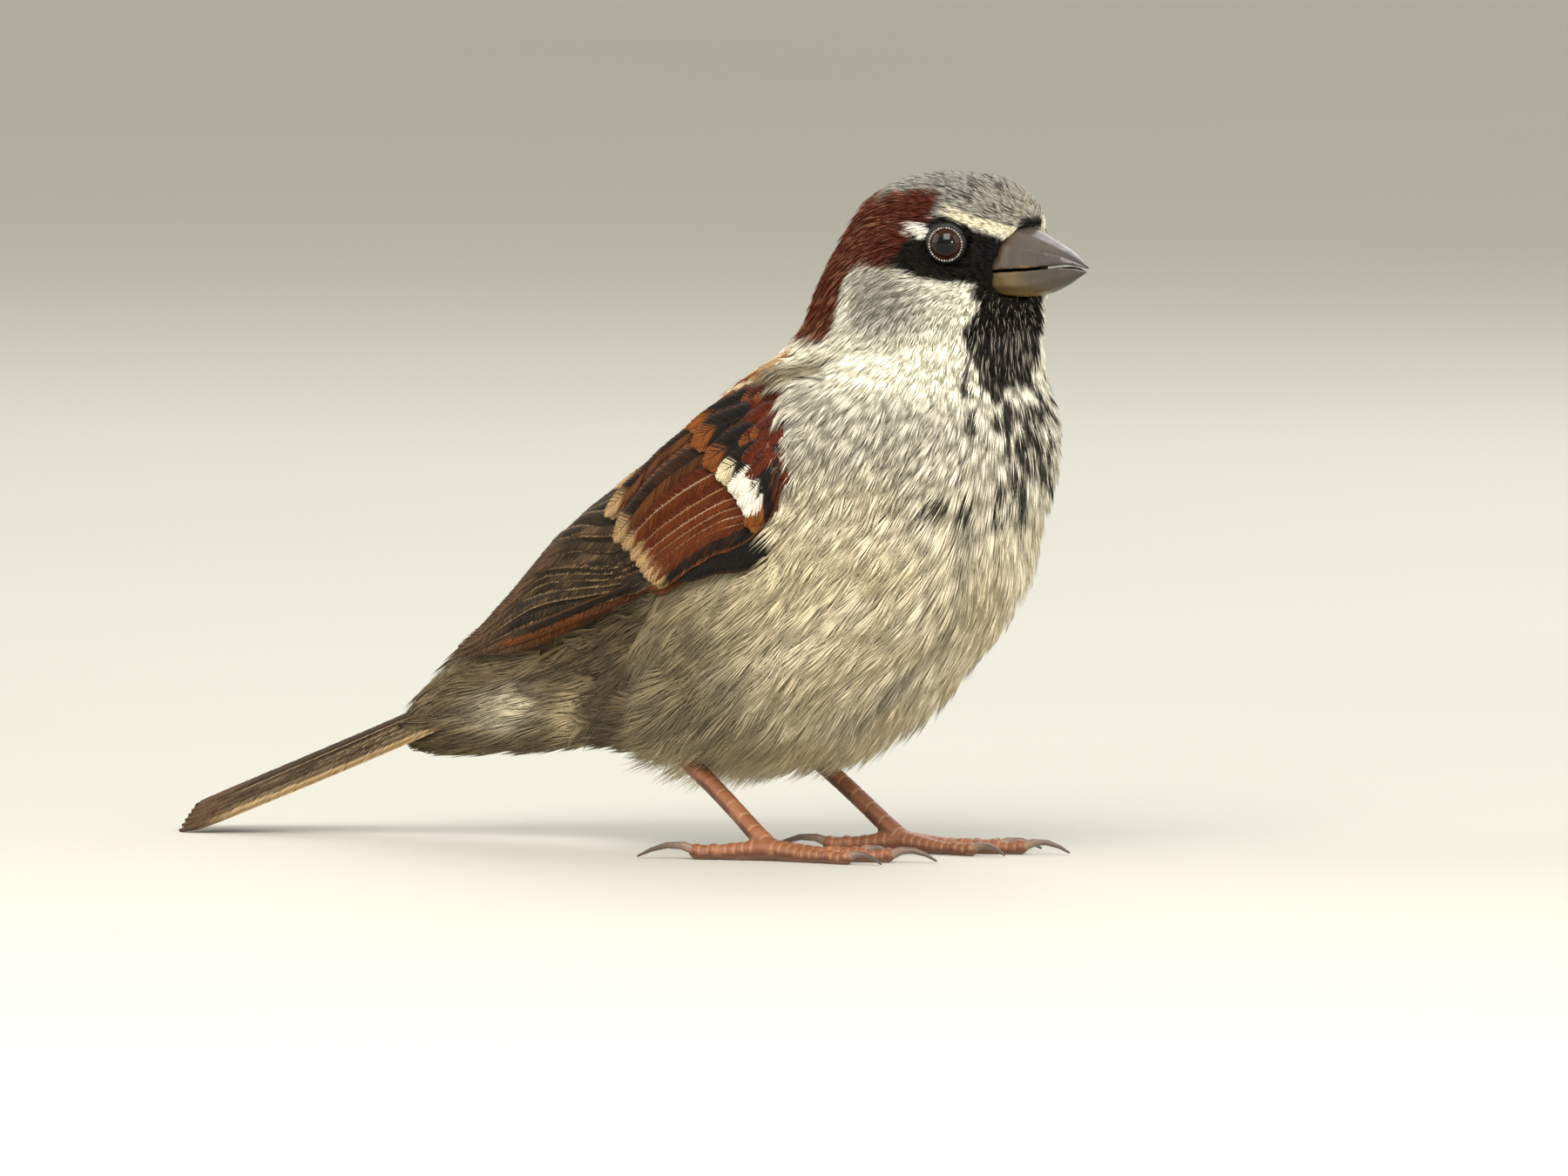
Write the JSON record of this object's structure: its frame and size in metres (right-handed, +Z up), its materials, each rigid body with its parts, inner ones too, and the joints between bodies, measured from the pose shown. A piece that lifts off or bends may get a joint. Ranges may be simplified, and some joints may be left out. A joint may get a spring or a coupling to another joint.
{
  "type": "house sparrow",
  "caption": "Small songbird standing with folded wings, a stout cone-shaped bill and its tail tip resting on the ground.",
  "frame": {"origin": "on the ground, under the middle of the bird's bounding box", "axes": "+X the way the bird faces, +Y its left, +Z up"},
  "size_m": [0.1286, 0.044, 0.0803],
  "materials": {
    "crown_feathers": "soft overlapping feathers, grey with fine dark streaks, chestnut at the sides",
    "pale_feathers": "soft off-white to buff feathers",
    "breast_feathers": "soft pale buff-grey feathers with a black bib",
    "rump_feathers": "soft grey-brown feathers",
    "covert_feathers": "smooth overlapping rufous-brown covert feathers with black centres and one white bar",
    "flight_feathers": "stiff smooth dark brown vanes with buff edges",
    "tail_feathers": "stiff smooth grey-brown vanes with paler edges",
    "eye": "wet, clear, glossy dark brown",
    "bill_horn": "smooth satin dark horn",
    "claw_horn": "satin, slightly translucent horn",
    "leg_skin": "dry scaled skin, pinkish brown"
  },
  "bodies": {
    "root": {"head": "crown_feathers", "upper_bill": "bill_horn", "lower_bill": "bill_horn", "neck": "pale_feathers", "breast": "breast_feathers", "belly": "breast_feathers", "rump": "rump_feathers", "undertail": "pale_feathers", "tail": "tail_feathers", "eye_right": "eye", "wing_shoulder_right": "covert_feathers", "wing_middle_right": "covert_feathers", "wing_tip_right": "flight_feathers", "leg_right": "leg_skin", "inner_toe_right": "leg_skin", "inner_toe_claw_right": "claw_horn", "middle_toe_right": "leg_skin", "middle_toe_claw_right": "claw_horn", "outer_toe_right": "leg_skin", "outer_toe_claw_right": "claw_horn", "hind_toe_right": "leg_skin", "hind_toe_claw_right": "claw_horn", "eye_left": "eye", "wing_shoulder_left": "covert_feathers", "wing_middle_left": "covert_feathers", "wing_tip_left": "flight_feathers", "leg_left": "leg_skin", "inner_toe_left": "leg_skin", "inner_toe_claw_left": "claw_horn", "middle_toe_left": "leg_skin", "middle_toe_claw_left": "claw_horn", "outer_toe_left": "leg_skin", "outer_toe_claw_left": "claw_horn", "hind_toe_left": "leg_skin", "hind_toe_claw_left": "claw_horn"}
  },
  "joints": []
}
